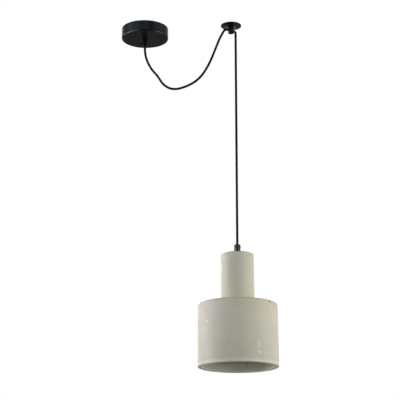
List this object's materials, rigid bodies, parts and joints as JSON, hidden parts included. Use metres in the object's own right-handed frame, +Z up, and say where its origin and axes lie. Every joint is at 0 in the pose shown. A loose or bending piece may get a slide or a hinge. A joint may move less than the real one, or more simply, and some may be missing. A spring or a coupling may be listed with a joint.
{
  "type": "pendant ceiling light",
  "caption": "Pendant light: black ceiling cup and hook, swagged black cord, and a cast-concrete shade with a narrow neck over a wide open drum that holds a screw lampholder.",
  "frame": {"origin": "centre of the canopy cup on the ceiling plane", "axes": "+Z up into the ceiling, +X from the canopy to the ceiling hook, the light is seen from -Y"},
  "size_m": [0.3272, 0.1626, 0.7352],
  "materials": {
    "black_paint": "satin",
    "black_grip": "satin",
    "cord_sheath": "matte",
    "concrete": "matte",
    "zinc_steel": "satin",
    "brass": "satin",
    "block_plastic": "satin",
    "holder_plastic": "satin",
    "insulator": "matte",
    "washer_rubber": "matte",
    "live_wire": "satin",
    "neutral_wire": "satin",
    "earth_wire": "satin"
  },
  "bodies": {
    "ceiling": {"canopy_cup": "black_paint", "ceiling_bracket": "zinc_steel", "canopy_nipple": "zinc_steel", "canopy_lock_nuts": "zinc_steel", "canopy_cord_grip": "black_grip", "canopy_grip_screw": "black_grip", "terminal_block": "block_plastic", "terminal_sleeves": "brass", "terminal_screws": "zinc_steel", "terminal_fixing_screw": "zinc_steel", "earth_lug": "brass", "earth_screw": "brass", "canopy_cord_tail": "cord_sheath", "canopy_live_core": "live_wire", "canopy_neutral_core": "neutral_wire", "earth_lead": "earth_wire", "hook_disc": "black_paint", "hook_stem": "black_paint", "hook_grub_screw": "zinc_steel", "hook_cord": "cord_sheath", "swag_cord": "cord_sheath"},
    "bend": {"cord_bend": "cord_sheath"},
    "drop": {"drop_cord": "cord_sheath"},
    "shade": {"pendant_cord_grip": "black_grip", "pendant_grip_screw": "black_grip", "seat_washer": "washer_rubber", "concrete_shade": "concrete", "pendant_nipple": "zinc_steel", "clamp_washer": "zinc_steel", "pendant_lock_nut": "zinc_steel", "lampholder_cap": "holder_plastic", "lampholder_skirt": "holder_plastic", "lampholder_insulator": "insulator", "screw_shell": "brass", "shell_rivets": "brass", "centre_contact": "brass", "lampholder_terminals": "brass", "lampholder_terminal_screws": "zinc_steel", "pendant_cord_tail": "cord_sheath", "lampholder_live_core": "live_wire", "lampholder_neutral_core": "neutral_wire"}
  },
  "joints": [
    {"name": "swing_fore_aft", "type": "hinge", "parent": "ceiling", "child": "bend", "pos_m": [0.19331, 0, -0.01459], "axis": [0.9397, 0, -0.342], "range_deg": [-30, 30]},
    {"name": "swing_sideways", "type": "hinge", "parent": "bend", "child": "drop", "pos_m": [0.19594, 0, -0.02115], "axis": [0, 1, 0], "range_deg": [-30, 30]},
    {"name": "shade_twist", "type": "hinge", "parent": "drop", "child": "shade", "pos_m": [0.19594, 0, -0.4844], "axis": [0, 0, 1], "range_deg": [-180, 180]}
  ]
}
